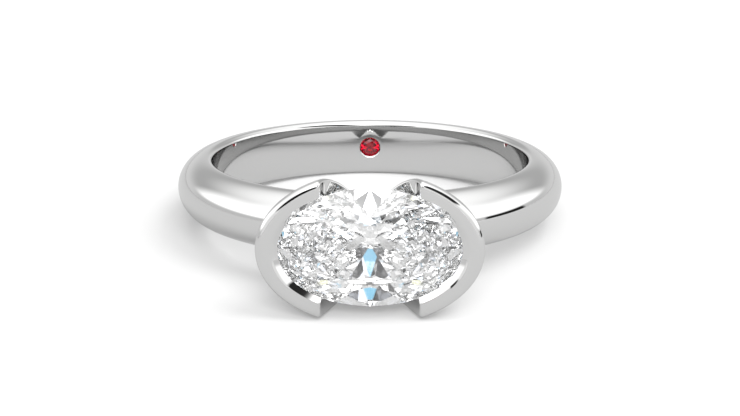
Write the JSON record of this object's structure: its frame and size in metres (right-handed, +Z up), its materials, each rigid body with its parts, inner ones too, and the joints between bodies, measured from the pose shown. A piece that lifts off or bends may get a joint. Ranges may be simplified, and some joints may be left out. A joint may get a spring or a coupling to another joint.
{
  "type": "oval engagement ring",
  "caption": "Polished white-metal finger ring with an oval brilliant held at its two ends by a half bezel, and a small round stone inside the band.",
  "frame": {"origin": "middle of the ring's footprint, on the level surface that it lies on", "axes": "+X across the oval stone, -Y towards the stone's table, +Y towards the band's back, +Z up"},
  "size_m": [0.0208, 0.0244, 0.0068],
  "materials": {
    "white_gold": "mirror polish",
    "clear_stone": "polished flat facets",
    "red_stone": "polished flat facets"
  },
  "bodies": {
    "root": {"shank_with_bezel": "white_gold", "oval_stone": "clear_stone", "accent_stone": "red_stone"}
  },
  "joints": []
}
